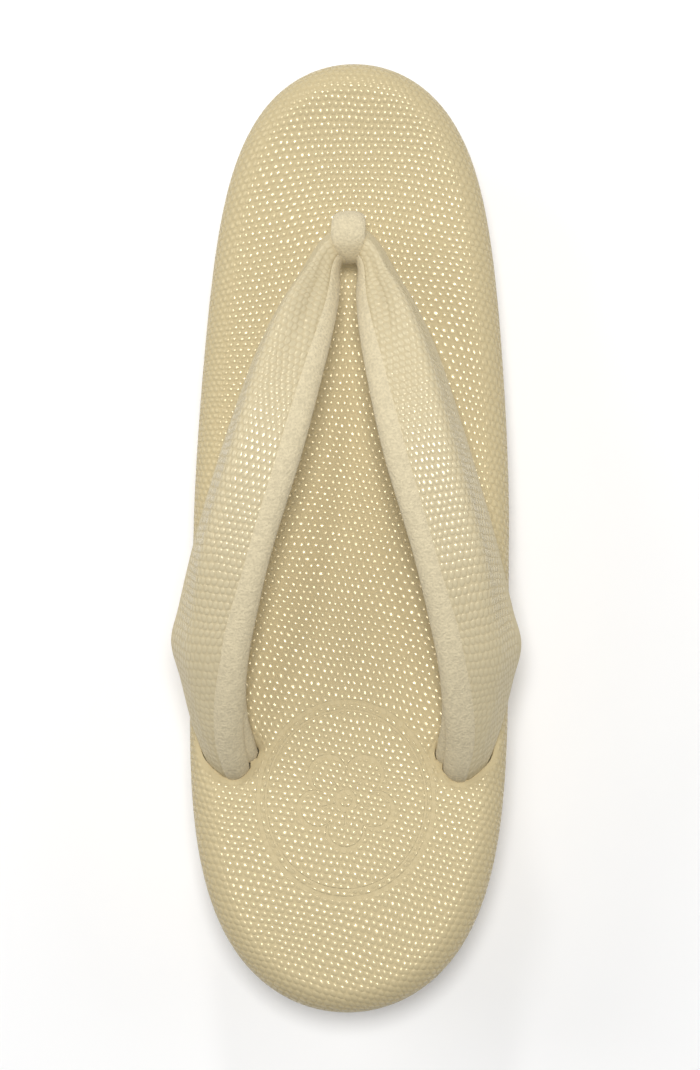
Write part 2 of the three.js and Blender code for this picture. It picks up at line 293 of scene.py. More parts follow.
def between(points, t):
    """A centripetal curve through points, at t from 0 to 1."""
    last = len(points) - 1
    place = min(max(t, 0), 1) * last
    i = min(int(place), last - 1)
    f = place - i
    b, c = points[i], points[i + 1]
    a = points[i - 1] if i > 0 else b * 2 - c
    d = points[i + 2] if i + 2 <= last else c * 2 - b
    ab, bc, cd = (math.sqrt((q - p).length) for p, q in ((a, b), (b, c), (c, d)))
    bc = bc if bc > 1e-2 else 1
    ab = ab if ab > 1e-2 else bc
    cd = cd if cd > 1e-2 else bc
    leave = ((b - a) / ab - (c - a) / (ab + bc) + (c - b) / bc) * bc
    arrive = ((c - b) / bc - (d - b) / (bc + cd) + (d - c) / cd) * bc
    return b + leave * f + ((c - b) * 3 - leave * 2 - arrive) * f**2 + ((b - c) * 2 + leave + arrive) * f**3


def half_width_at(y):
    """Half the footbed's width at y: an oval that is fuller at the heel than at the toe."""
    sizes = sizes_in_mm()
    end = min(1, abs(y) / HALF_LENGTH)
    swell = sizes.toe_swell * end**3 if y < 0 else sizes.heel_swell * end**2
    return math.sqrt(1 - end * end) * (sizes.half_width + swell)


def outline(count):
    """The footbed's outline from the toe tip, counter-clockwise seen from above, with outward directions."""
    places = []
    for i in range(count):
        turn = 2 * math.pi * i / count
        y = -HALF_LENGTH * math.cos(turn)
        side = 0 if i in (0, count // 2) else math.copysign(1, math.sin(turn))
        places.append(Vector((side * half_width_at(y), y)))
    edge = []
    for i, place in enumerate(places):
        along = places[(i + 1) % count] - places[i - 1]
        edge.append((place, Vector((along.y, -along.x)).normalized()))
    return edge


def sole_ring(edge, flank, tip, height):
    """The outline moved in by flank on the sides and by tip at the toe and heel, each point at height(y)."""
    ring = []
    for place, outward in edge:
        inset = flank + (tip - flank) * outward.y**2
        moved = place - outward * inset
        ring.append(Vector((moved.x, moved.y, height(moved.y))) * MM)
    return ring


# ---- Modelling ----


def fresh_start():
    """Back to object mode with nothing selected."""
    if bpy.context.object and bpy.context.object.mode != "OBJECT":
        bpy.ops.object.mode_set(mode="OBJECT")
    bpy.ops.object.select_all(action="DESELECT")


def select_only(piece):
    fresh_start()
    piece.select_set(True)
    bpy.context.view_layer.objects.active = piece


def edit_mesh(piece):
    mesh = bmesh.from_edit_mesh(piece.data)
    mesh.verts.ensure_lookup_table()
    return mesh


def select_verts(piece, wanted):
    """Selects the vertices with these indices, and the edges and faces that lie wholly between them."""
    bpy.ops.mesh.select_all(action="DESELECT")
    mesh = edit_mesh(piece)
    for i in wanted:
        mesh.verts[i].select = True
    mesh.select_flush(True)
    bmesh.update_edit_mesh(piece.data)


def move_verts(piece, indices, places):
    mesh = edit_mesh(piece)
    for i, place in zip(indices, places):
        mesh.verts[i].co = place
    bmesh.update_edit_mesh(piece.data)


def extrude_ring(piece, ring, places):
    """Extrudes a ring of vertices and moves the new ring to its places. Returns the new ring's indices."""
    select_verts(piece, ring)
    bpy.ops.mesh.extrude_region_move()
    mesh = edit_mesh(piece)
    new_ring = []
    for i in ring:
        grown = [edge.other_vert(mesh.verts[i]) for edge in mesh.verts[i].link_edges]
        new_ring.append(next(vert.index for vert in grown if vert.select))
    move_verts(piece, new_ring, places)
    return new_ring


def loft(name, rings, marks=None, capped=True):
    """A tube through rings of equally many points, made from a circle that is extruded from ring to ring.
    marks gives each point's place on the unrolled material, which becomes the piece's UV map."""
    count = len(rings[0])
    fresh_start()
    bpy.ops.mesh.primitive_circle_add(vertices=count, radius=MM)
    piece = bpy.context.object
    piece.name = name
    bpy.ops.object.mode_set(mode="EDIT")
    bpy.ops.mesh.select_mode(type="VERT")
    ring = list(range(count))
    move_verts(piece, ring, rings[0])
    order = list(ring)
    for places in rings[1:]:
        ring = extrude_ring(piece, ring, places)
        order += ring
    if capped:
        for end in (order[:count], order[-count:]):
            select_verts(piece, end)
            bpy.ops.mesh.edge_face_add()
    bpy.ops.object.mode_set(mode="OBJECT")
    if marks:
        flat = {i: mark for i, mark in zip(order, [mark for row in marks for mark in row])}
        layer = piece.data.uv_layers.new(name="unrolled")
        for loop in piece.data.loops:
            layer.data[loop.index].uv = flat[loop.vertex_index]
    return piece


def close_with_bars(piece, ring, cuts):
    """Closes a ring of the sole with bars straight across it, each cut into short lengths."""
    half = len(ring) // 2
    select_verts(piece, ring[1:half] + ring[half + 1 :])
    bpy.ops.mesh.bridge_edge_loops(type="SINGLE", number_cuts=cuts, interpolation="LINEAR")
    for tip in (0, half):
        mesh = edit_mesh(piece)
        corner = mesh.verts[ring[tip]]
        bpy.ops.mesh.select_all(action="DESELECT")
        for edge in corner.link_edges:
            if edge.is_boundary:
                edge.select = True
        left, right = ring[(tip + 1) % len(ring)], ring[tip - 1]
        bar = shortest_bar(mesh, left, right)
        for edge in bar:
            edge.select = True
        mesh.select_flush_mode()
        bmesh.update_edit_mesh(piece.data)
        bpy.ops.mesh.edge_face_add()


def shortest_bar(mesh, start, goal):
    """The boundary edges of one bar, followed from one end to the other away from the tip."""
    mesh.verts.ensure_lookup_table()
    goal_vert = mesh.verts[goal]
    vert = mesh.verts[start]
    way = []
    while vert != goal_vert:
        ahead = [edge for edge in vert.link_edges if edge.is_boundary and edge not in way and not edge.select]
        edge = min(ahead, key=lambda e: (e.other_vert(vert).co - goal_vert.co).length)
        way.append(edge)
        vert = edge.other_vert(vert)
    return way


def sole_slice(name, rings, cuts):
    """A slice of the sole: walls through rings from the lowest to the highest, closed with bars."""
    piece = loft(name, rings, capped=False)
    count = len(rings[0])
    bpy.ops.object.mode_set(mode="EDIT")
    mesh = edit_mesh(piece)
    low = list(range(count))
    high = [vert.index for vert in mesh.verts if vert.index >= len(mesh.verts) - count]
    for ring in (low, high):
        close_with_bars(piece, ring, cuts)
    bpy.ops.object.mode_set(mode="OBJECT")
    return piece


def outward_faces(piece):
    select_only(piece)
    bpy.ops.object.mode_set(mode="EDIT")
    bpy.ops.mesh.select_all(action="SELECT")
    bpy.ops.mesh.normals_make_consistent(inside=False)
    bpy.ops.object.mode_set(mode="OBJECT")


def finish_piece(piece, material, node, angle=40):
    """Gives a finished piece its outward normals, smooth shading and material, attaches it to the root body and
    hides the packed part that it replaces.
    """
    outward_faces(piece)
    bpy.ops.object.shade_smooth_by_angle(angle=math.radians(angle))
    piece.data.materials.clear()
    piece.data.materials.append(material)
    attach(piece, "root")
    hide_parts(node)


# ---- Strap sections ----


def strap_frame(t):
    """The strap's section at t, from its end at +X over the bend to its end at -X: its middle, its direction
    from rim to skirt with half its width, its outward direction, and its thickness, crown and lining roll."""
    sides = [(row, 1) for row in reversed(STRAP[1:])] + [(row, -1) for row in STRAP]
    rails = {"rim": [], "skirt": []}
    for row, side in sides:
        for name, points in rails.items():
            x, along, up = row[name]
            points.append(Vector((side * x, y_of(along), top_at(y_of(along)) + up)))

    def middle(at):
        return (between(rails["rim"], at) + between(rails["skirt"], at)) / 2

    width = between(rails["skirt"], t) - between(rails["rim"], t)
    forward = (middle(min(1, t + 1e-3)) - middle(max(0, t - 1e-3))).normalized()
    across = width.normalized()
    outward = forward.cross(across).normalized()
    body = between([Vector((row["thick"], row["crown"], 0)) for row, _ in sides], t)
    pads = between([Vector((row["roll"], row["swell"], 0)) for row, _ in sides], t)
    pinch = 1 - SQUEEZE["share"] * math.exp(-((middle(t).x / SQUEEZE["wide"]) ** 2))
    size = (width.length / 2 * pinch, body.x * pinch, body.y, pads.y)
    return middle(t), across, outward, size, pads.x


def section_point(turn, reach, thick, crown, swell, grow=0.0):
    """A point of the strap's flat section, (towards the skirt, outward), at an angle round it."""
    c, s = math.cos(turn), math.sin(turn)
    to_skirt = math.copysign(abs(c) ** STRAP_PLUMP, c)
    share = 1 - (1 - STRAP_SKIRT_SHARE) * (to_skirt + 1) / 2
    lift = math.copysign(abs(s) ** STRAP_PLUMP, s) * (thick / 2 * share + grow) + crown * (1 - to_skirt**2)
    if s > 0:
        lift += swell * math.exp(-(((to_skirt - RIDGE["place"]) / RIDGE["wide"]) ** 2))
    return Vector((to_skirt * (reach + grow), lift))


def strap_solid(name, grow):
    """The strap as one closed solid, grown all over."""
    stations, points = 66, 60
    rings = []
    for k in range(stations + 1):
        middle, across, outward, size, _ = strap_frame(k / stations)
        ring = []
        for i in range(points):
            turn = 2 * math.pi * i / points
            point = section_point(turn, *size, grow)
            point -= Vector((math.cos(turn), math.sin(turn))) * inner_fold(middle.y - TOE_Y, turn)
            ring.append((middle + across * point.x + outward * point.y) * MM)
        rings.append(ring)
    return loft(name, rings)


def inner_fold(at, turn):
    """Depth of the crease near the strap's end, between its lining and the lobe below it, at an angle round
    the section. The lobe itself stands out, so its depth is negative."""
    share = max(0, min(1, (at - END_FOLD["from"]) / END_FOLD["over"]))
    past_rim = turn - math.pi
    crease = CREASE["deep"] * math.exp(-(((past_rim - CREASE["turn"]) / CREASE["wide"]) ** 2))
    lobe = LOBE["high"] * math.exp(-(((past_rim - LOBE["turn"]) / LOBE["wide"]) ** 2))
    return share * (crease - lobe)


def section_run(start, end, size, fold_width):
    """Points, outward normals, lengths and angles along the section, from one angle to another. Near both ends
    of the run the surface turns in, like an edge that is folded under."""
    count = 52
    turns = [start + (end - start) * k / (count - 1) for k in range(count)]
    points = [section_point(turn, *size) for turn in turns]
    lengths = [0.0]
    for a, b in zip(points, points[1:]):
        lengths.append(lengths[-1] + (b - a).length)
    run = []
    for k, point in enumerate(points):
        along = points[min(k + 1, count - 1)] - points[max(k - 1, 0)]
        normal = Vector((along.y, -along.x)).normalized()
        near = min(lengths[k], lengths[-1] - lengths[k])
        turned = SEAM_FOLD["deep"] * max(0, 1 - near / fold_width) ** 2
        run.append((point - normal * turned, normal, lengths[k], turns[k]))
    return run


def fold_depth(at, side, place):
    """Depth of the listed folds in the strap, at a distance from the toe, on one side, and at a place
    across the section from -1 at the rim to 1 at the skirt."""
    depth = 0.0
    for fold in FOLDS:
        if fold["side"] not in (0, side):
            continue
        along = (at - fold["from"]) / (fold["to"] - fold["from"])
        if 0 < along < 1:
            centre = fold["place"] + fold["drift"] * along
            away = (place - centre) / fold["wide"]
            depth += fold["deep"] * math.sin(math.pi * along) ** 1.5 * math.exp(-away * away)
    return depth


# ---- Operators: the pieces ----


class ZORI_OT_outsole(bpy.types.Operator):
    """Thin rubber sheet with straight grooves under the ball of the foot and the heel"""

    bl_idname = "zori.outsole"
    bl_label = "Outsole"

    def execute(self, context):
        edge = outline(count=160)
        top = {**OUTSOLE_RINGS[-1], "up": sizes_in_mm().outsole_thick}
        rings = []
        for row in (*OUTSOLE_RINGS, top):
            rings.append(sole_ring(edge, row["flank"], row["tip"], lambda y, up=row["up"]: under_at(y) + up))
        piece = sole_slice("outsole_rubber", rings, cuts=4)
        cut_tread(piece)
        finish_piece(piece, rubber_material(), "outsole")
        return {"FINISHED"}


def cut_tread(piece):
    """Cuts the straight grooves across the sole under the ball of the foot and the heel."""
    bar_size = (0.2, 0.0024, 0.003)
    bars = []
    for at in TREAD:
        fresh_start()
        bpy.ops.mesh.primitive_cube_add(size=1, location=(0, y_of(at) * MM, 0), scale=bar_size)
        bar = bpy.context.object
        bpy.ops.object.transform_apply(location=True, rotation=True, scale=True)
        bars.append(bar)
    fresh_start()
    for bar in bars:
        bar.select_set(True)
    bpy.context.view_layer.objects.active = bars[0]
    bpy.ops.object.join()
    cut_with(piece, bars[0])


def cut_with(piece, cutter):
    """Takes the cutter out of the piece, and removes the cutter."""
    for body in (piece, cutter):
        outward_faces(body)
    select_only(piece)
    cut = piece.modifiers.new("cut", "BOOLEAN")
    cut.operation = "DIFFERENCE"
    cut.object = cutter
    bpy.ops.object.modifier_apply(modifier=cut.name)
    select_only(cutter)
    bpy.ops.object.delete()


class ZORI_OT_wedge(bpy.types.Operator):
    """Foam wedge between the outsole and the footbed"""

    bl_idname = "zori.wedge"
    bl_label = "Wedge sole"

    def execute(self, context):
        sizes = sizes_in_mm()
        edge = outline(count=160)

        def top(y):
            return top_at(y) - sizes.footbed_thick - sizes.clearance

        def under(y):
            return under_at(y) + sizes.outsole_thick + sizes.clearance

        def inset(side, share):
            low, high = WEDGE_LOW[side], WEDGE_HIGH[side]
            return low + (high - low) * share - WEDGE_HOLLOW * math.sin(math.pi * share)

        def bevelled(row):
            return row["flank"] + row["bevel"], row["tip"] + row["bevel"]

        rings = [sole_ring(edge, *bevelled(WEDGE_LOW), under)]
        for share in WEDGE_SHARES:
            flank, tip = inset("flank", share), inset("tip", share)
            rings.append(sole_ring(edge, flank, tip, lambda y, s=share: under(y) + (top(y) - under(y)) * s))
        rings.append(sole_ring(edge, *bevelled(WEDGE_HIGH), top))
        piece = sole_slice("wedge_foam", rings, cuts=4)
        finish_piece(piece, foam_material(), "wedge_sole")
        return {"FINISHED"}


class ZORI_OT_footbed(bpy.types.Operator):
    """Padded footbed wrapped in grained leather, with pockets for the strap and the loop"""

    bl_idname = "zori.footbed"
    bl_label = "Footbed"

    def execute(self, context):
        sizes = sizes_in_mm()
        edge = outline(count=256)
        rings = []
        low = sizes.footbed_thick - sizes.round_down
        tuck_steps, round_steps = 5, 10
        for k in range(tuck_steps):
            turn = math.pi / 2 * (1 - k / tuck_steps)
            inset = FOOTBED_TUCK * (1 - math.cos(turn))
            drop = sizes.round_down + low * math.sin(turn)
            rings.append(sole_ring(edge, inset, inset, lambda y, d=drop: top_at(y) - d))
        for k in range(round_steps + 1):
            turn = math.pi / 2 * k / round_steps
            inset = sizes.round_in * (1 - math.cos(turn))
            drop = sizes.round_down * (1 - math.sin(turn))
            rings.append(sole_ring(edge, inset, inset, lambda y, d=drop: top_at(y) - d))
        piece = sole_slice("footbed_leather", rings, cuts=30)
        for room in (strap_solid("strap_room", sizes.clearance), loop_solid("loop_room", sizes.clearance)):
            cut_with(piece, room)
        turn_in_pocket_lips(piece)
        unroll_footbed(piece, sizes)
        finish_piece(piece, footbed_material(), "footbed", angle=60)
        return {"FINISHED"}


def turn_in_pocket_lips(piece):
    """Turns the leather down round the pockets and notes how near each point is to one of them."""
    select_only(piece)
    bpy.ops.object.mode_set(mode="EDIT")
    mesh = edit_mesh(piece)
    mesh.normal_update()
    rim = []
    for vert in mesh.verts:
        x, y, z = vert.co / MM
        on_top = z > top_at(y) - LIP["rim_deep"] and half_width_at(y) - abs(x) > LIP["from_edge"]
        if on_top and any(edge.calc_face_angle(0) > math.radians(LIP["sharp"]) for edge in vert.link_edges):
            rim.append(vert.co.copy() / MM)
    nearness = {}
    for vert in mesh.verts:
        place = vert.co / MM
        depth = top_at(place.y) - place.z
        if depth > LIP_CALM["deep"]:
            continue
        away = min((place - spot).length for spot in rim)
        nearness[vert.index] = max(0, 1 - away / LIP_CALM["reach"])
        if depth < LIP["turn_deep"]:
            vert.co.z -= LIP["drop"] * max(0, 1 - away / LIP["reach"]) ** 2 * MM
    bmesh.update_edit_mesh(piece.data)
    bpy.ops.object.mode_set(mode="OBJECT")
    lip = piece.data.attributes.new("pocket_lip", "FLOAT", "POINT")
    for index, value in nearness.items():
        lip.data[index].value = value


def unroll_footbed(piece, sizes):
    """A UV map in metres that follows the leather over the footbed's rounded edge. The flanks unroll straight
    out, and the round ends away from the middle of their caps."""
    flat_margin = sizes.round_in + 1
    layer = piece.data.uv_layers.new(name="unrolled")
    for loop in piece.data.loops:
        vert = piece.data.vertices[loop.vertex_index]
        x, y, z = vert.co / MM
        drop = max(0, top_at(y) - z)
        turn = math.acos(max(0, 1 - drop / sizes.round_down))
        surplus = sizes.round_in * (turn - math.sin(turn)) + max(0, drop - sizes.round_down)
        if half_width_at(y) - abs(x) > flat_margin and HALF_LENGTH - abs(y) > flat_margin:
            surplus = 0
        away = Vector((x, math.copysign(max(0, abs(y) - CAP_MIDDLE), y))).normalized()
        layer.data[loop.index].uv = ((x + away.x * surplus) * MM, (y + away.y * surplus) * MM)


class ZORI_OT_strap(bpy.types.Operator):
    """Padded thong strap: leather cover and suede lining, joined at a seam along the rim and the skirt"""

    bl_idname = "zori.strap"
    bl_label = "Thong strap"

    def execute(self, context):
        stations = 220
        cover, lining = {"rings": [], "marks": []}, {"rings": [], "marks": []}
        travelled = 0.0
        last_middle = strap_frame(0)[0]
        for k in range(stations + 1):
            station = strap_frame(k / stations)
            middle, _, _, size, roll = station
            travelled += (middle - last_middle).length
            last_middle = middle
            seam_place = -1 + roll / size[0]
            seam = math.acos(math.copysign(abs(seam_place) ** (1 / STRAP_PLUMP), seam_place))
            leather = section_run(UNDER_SEAM, seam, size, SEAM_FOLD["cover"])
            suede = section_run(seam, UNDER_SEAM + 2 * math.pi, size, SEAM_FOLD["lining"])
            for run, half in ((leather, cover), (suede, lining)):
                ring, marks = shell_ring(run, station, travelled)
                half["rings"].append(ring)
                half["marks"].append(marks)
        for name, half, material, slot in (
            ("strap_cover", cover, strap_material(), "strap_leather"),
            ("strap_lining", lining, suede_material(), "suede"),
        ):
            piece = loft(name, half["rings"], half["marks"])
            finish_piece(piece, material, "thong_strap", angle=60)
        return {"FINISHED"}


def shell_ring(run, station, travelled):
    """A ring round the strap's wall at one section, out along a run and back inside it, with the place of each
    of its points on the unrolled material."""
    middle, across, outward, size, _ = station
    at, side = middle.y - TOE_Y, math.copysign(1, middle.x)
    folds_end, crease_starts = math.pi - 0.5, math.pi - 0.2
    points, marks = [], []
    for point, normal, length, turn in run:
        deep = fold_depth(at, side, point.x / size[0]) if turn < folds_end else 0
        if turn > crease_starts:
            deep += inner_fold(at, turn)
        points.append(point - normal * deep)
        marks.append((length * MM, travelled * MM))
    for point, normal, length, _ in reversed(run[::3]):
        points.append(point - normal * STRAP_WALL)
        marks.append((length * MM, travelled * MM))
    return [(middle + across * p.x + outward * p.y) * MM for p in points], marks


def loop_solid(name, grow):
    """The toe loop's band as a tube whose section is a soft-edged rectangle, grown all over."""
    steps, count = 90, 32
    base = top_at(y_of(LOOP_FOOT))
    points = [Vector((0, y_of(row["at"]), base + row["up"])) for row in LOOP]
    sizes = [Vector((row["wide"] / 2, row["thick"] / 2, row["bulge"])) for row in LOOP]
    rings = []
    for k in range(steps + 1):
        t = k / steps
        middle = between(points, t)
        ahead = (between(points, min(1, t + 1e-3)) - between(points, max(0, t - 1e-3))).normalized()
        out = ahead.cross(Vector((1, 0, 0))).normalized()
        size = between(sizes, t)
        ring = []
        for i in range(count):
            turn = 2 * math.pi * i / count
            c, s = math.cos(turn), math.sin(turn)
            x = math.copysign(abs(c) ** LOOP_CORNERS["across"], c) * (size.x + grow)
            bulge = size.z * (1 - (x / (size.x + grow)) ** 2)
            lift = math.copysign(abs(s) ** LOOP_CORNERS["through"], s) * (size.y + grow) - bulge
            ring.append((middle + Vector((x, 0, 0)) + out * lift) * MM)
        rings.append(ring)
    return loft(name, rings)


class ZORI_OT_toe_loop(bpy.types.Operator):
    """Folded suede band that holds the strap's bend between the toes"""

    bl_idname = "zori.toe_loop"
    bl_label = "Toe loop"

    def execute(self, context):
        piece = loop_solid("toe_loop_suede", 0.0)
        finish_piece(piece, suede_material(), "toe_loop", angle=60)
        return {"FINISHED"}


# ---- Materials ----


class Nodes:
    """A small helper that adds nodes to a tree and links their sockets."""

    def __init__(self, tree):
        self.tree = tree

    def add(self, kind, inputs=(), **settings):
        node = self.tree.nodes.new(kind)
        for key, value in settings.items():
            setattr(node, key, value)
        for socket, value in dict(inputs).items():
            self.feed(node.inputs[socket], value)
        return node

    def feed(self, socket, value):
        if isinstance(value, bpy.types.NodeSocket):
            self.tree.links.new(value, socket)
        else:
            socket.default_value = value

    def math(self, operation, *values):
        return self.add("ShaderNodeMath", dict(enumerate(values)), operation=operation).outputs[0]

    def bump(self, shader, height, distance):
        node = self.add("ShaderNodeBump", {"Height": height, "Distance": distance})
        self.feed(shader.inputs["Normal"], node.outputs[0])

    def ramp(self, value, low, high):
        """Where value lies between low and high, smoothly from 0 to 1."""
        inputs = {"Value": value, "From Min": low, "From Max": high}
        return self.add("ShaderNodeMapRange", inputs, interpolation_type="SMOOTHSTEP").outputs[0]

    def mix(self, share, a, b):
        return self.add("ShaderNodeMix", {0: share, 6: a, 7: b}, data_type="RGBA").outputs[2]


def group_tree(name, inputs, outputs):
    """A shader node group with the named sockets, and its ends."""
    tree = bpy.data.node_groups.new(name, "ShaderNodeTree")
    for socket, kind, default in inputs:
        entry = tree.interface.new_socket(name=socket, in_out="INPUT", socket_type=kind)
        if default is not None:
            entry.default_value = default
    for socket in outputs:
        tree.interface.new_socket(name=socket, in_out="OUTPUT", socket_type="NodeSocketFloat")
    nodes = Nodes(tree)
    return nodes, nodes.add("NodeGroupInput").outputs, nodes.add("NodeGroupOutput").inputs


def beaded_grain():
    """Node group: staggered rows of small flat-topped beads, as on pearl-finish reptile-grain leather."""
    name = "Beaded grain"
    if name in bpy.data.node_groups:
        return bpy.data.node_groups[name]
    nodes, given, result = group_tree(
        name,
        [
            ("Vector", "NodeSocketVector", None),
            ("Bead pitch", "NodeSocketFloat", 0.00165),
            ("Row pitch", "NodeSocketFloat", 0.0016),
            ("Wander", "NodeSocketFloat", 0.008),
            ("Arch", "NodeSocketFloat", 0.0),
            ("Slant", "NodeSocketFloat", 0.0),
            ("Point", "NodeSocketFloat", 2.0),
            ("Calm", "NodeSocketFloat", 0.0),
        ],
        ["Height", "Bead", "Tone"],
    )
    m = nodes.math
    arch_fades = (-0.065, 0.0)
    nudge_share, smallest, size_spread = 0.16, 0.44, 0.08
    parts = nodes.add("ShaderNodeSeparateXYZ", {0: given["Vector"]})
    drift = nodes.add("ShaderNodeTexNoise", {"Vector": given["Vector"], "Scale": 22.0, "Detail": 1.0})
    jitter = nodes.add("ShaderNodeTexNoise", {"Vector": given["Vector"], "Scale": 260.0, "Detail": 1.0})
    drifts = nodes.add("ShaderNodeSeparateColor", {0: drift.outputs["Color"]})
    jitters = nodes.add("ShaderNodeSeparateColor", {0: jitter.outputs["Color"]})

    def swayed(place, channel):
        slow = m("MULTIPLY", m("SUBTRACT", drifts.outputs[channel], 0.5), given["Wander"])
        quick = m("MULTIPLY", m("SUBTRACT", jitters.outputs[channel], 0.5), 0.0007)
        return m("ADD", place, m("ADD", slow, quick))

    behind = nodes.ramp(parts.outputs[1], *arch_fades)
    arched = m("MULTIPLY", m("MULTIPLY", parts.outputs[0], parts.outputs[0]), given["Arch"])
    arched = m("MULTIPLY", arched, m("SUBTRACT", 1.0, m("MULTIPLY", behind, 0.8)))
    slanted = m("MULTIPLY", m("MULTIPLY", parts.outputs[0], behind), given["Slant"])
    arched = m("SUBTRACT", arched, slanted)
    u = swayed(parts.outputs[0], 0)
    v = swayed(m("SUBTRACT", parts.outputs[1], arched), 1)
    row_place = m("DIVIDE", v, given["Row pitch"])
    row = m("FLOOR", row_place)
    stagger = m("MULTIPLY", m("FLOORED_MODULO", row, 2.0), 0.5)
    column_place = m("ADD", m("DIVIDE", u, given["Bead pitch"]), stagger)
    column = m("FLOOR", column_place)
    cell = nodes.add("ShaderNodeCombineXYZ", {0: column, 1: row})
    chance = nodes.add("ShaderNodeTexWhiteNoise", {"Vector": cell.outputs[0]}, noise_dimensions="2D")
    chances = nodes.add("ShaderNodeSeparateColor", {0: chance.outputs["Color"]})

    def off_centre(place, start, channel):
        nudge = m("MULTIPLY", m("SUBTRACT", chances.outputs[channel], 0.5), nudge_share)
        return m("SUBTRACT", m("SUBTRACT", place, start), m("ADD", 0.5, nudge))

    across = off_centre(column_place, column, 0)
    along = off_centre(row_place, row, 1)
    size = m("ADD", smallest, m("MULTIPLY", chances.outputs[2], size_spread))
    square = m("ADD", m("MULTIPLY", across, across), m("MULTIPLY", m("MULTIPLY", along, along), 0.86))
    apart = m("MINIMUM", m("DIVIDE", m("SQRT", square), size), 1.0)
    dome = m("SUBTRACT", 1.0, m("POWER", apart, given["Point"]))
    fine = nodes.add("ShaderNodeTexNoise", {"Vector": given["Vector"], "Scale": 1900.0, "Detail": 2.0})
    grained = m("ADD", dome, m("MULTIPLY", fine.outputs[0], 0.16))
    height = m("MULTIPLY", grained, m("SUBTRACT", 1.0, given["Calm"]))
    nodes.feed(result["Height"], height)
    nodes.feed(result["Bead"], m("MULTIPLY", nodes.ramp(dome, 0.0, 0.7), m("SUBTRACT", 1.0, given["Calm"])))
    tone = nodes.add("ShaderNodeTexNoise", {"Vector": given["Vector"], "Scale": 120.0, "Detail": 3.0})
    nodes.feed(result["Tone"], m("ADD", m("MULTIPLY", chances.outputs[2], 0.35), tone.outputs[0]))
    return nodes.tree


def pressed_flower():
    """Node group: a thin oval ring round a plain five-petalled flower, as a mask of its pressed lines."""
    name = "Pressed flower"
    if name in bpy.data.node_groups:
        return bpy.data.node_groups[name]
    nodes, given, result = group_tree(name, [("Vector", "NodeSocketVector", None)], ["Line"])
    m = nodes.math
    parts = nodes.add("ShaderNodeSeparateXYZ", {0: given["Vector"]})
    x, y = parts.outputs[0], parts.outputs[1]
    rings = ((0.0206, 0.00035), (0.0188, 0.0002))
    petal_root, petal_reach, eye, vein_end = 0.0062, 0.0052, 0.0020, 0.0056
    flat_y = m("MULTIPLY", y, 0.9)
    oval = m("SQRT", m("ADD", m("MULTIPLY", x, x), m("MULTIPLY", flat_y, flat_y)))
    apart = m("SQRT", m("ADD", m("MULTIPLY", x, x), m("MULTIPLY", y, y)))
    turn = m("ARCTAN2", x, y)
    wave = m("ABSOLUTE", m("COSINE", m("MULTIPLY", turn, 2.5)))
    petal = m("ADD", petal_root, m("MULTIPLY", m("POWER", wave, 0.55), petal_reach))

    def line(distance, radius, half_width):
        off = m("ABSOLUTE", m("SUBTRACT", distance, radius))
        return m("SUBTRACT", 1.0, nodes.ramp(off, half_width, half_width * 2.0))

    ring = m("MAXIMUM", *(line(oval, radius, half_width) for radius, half_width in rings))
    flower = m("MAXIMUM", line(apart, petal, 0.0004), line(apart, eye, 0.00035))
    veins = m("SUBTRACT", 1.0, nodes.ramp(m("ABSOLUTE", m("SINE", m("MULTIPLY", turn, 2.5))), 0.05, 0.16))
    outside = nodes.ramp(apart, vein_end, petal_root)
    reach = m("MULTIPLY", nodes.ramp(apart, 0.0024, 0.003), m("SUBTRACT", 1.0, outside))
    lines = m("MAXIMUM", m("MAXIMUM", ring, flower), m("MULTIPLY", veins, reach))
    nodes.feed(result["Line"], m("MULTIPLY", lines, 0.7))
    return nodes.tree


def suede_nap():
    """Node group: the mottled nap of suede, fine and coarse."""
    name = "Suede nap"
    if name in bpy.data.node_groups:
        return bpy.data.node_groups[name]
    nodes, given, result = group_tree(
        name,
        [("Vector", "NodeSocketVector", None), ("Fibre", "NodeSocketFloat", 1800.0)],
        ["Height", "Shade"],
    )
    fine = nodes.add("ShaderNodeTexNoise", {"Vector": given["Vector"], "Scale": given["Fibre"], "Detail": 3.0})
    patch = nodes.add("ShaderNodeTexNoise", {"Vector": given["Vector"], "Scale": 700.0, "Detail": 3.0})
    both = nodes.math("ADD", fine.outputs[0], nodes.math("MULTIPLY", patch.outputs[0], 0.5))
    nodes.feed(result["Height"], both)
    nodes.feed(result["Shade"], nodes.ramp(both, 0.5, 1.0))
    return nodes.tree


def new_material(name, **constants):
    """A material with a Principled BSDF whose constant inputs are set on it directly."""
    material = bpy.data.materials.new(name)
    material.use_nodes = True
    nodes = Nodes(material.node_tree)
    shader = material.node_tree.nodes["Principled BSDF"]
    for socket, value in constants.items():
        shader.inputs[socket.replace("_", " ")].default_value = value
    return material, nodes, shader


def rgba(colour, share=1.0):
    return (colour[0] * share, colour[1] * share, colour[2] * share, 1.0)


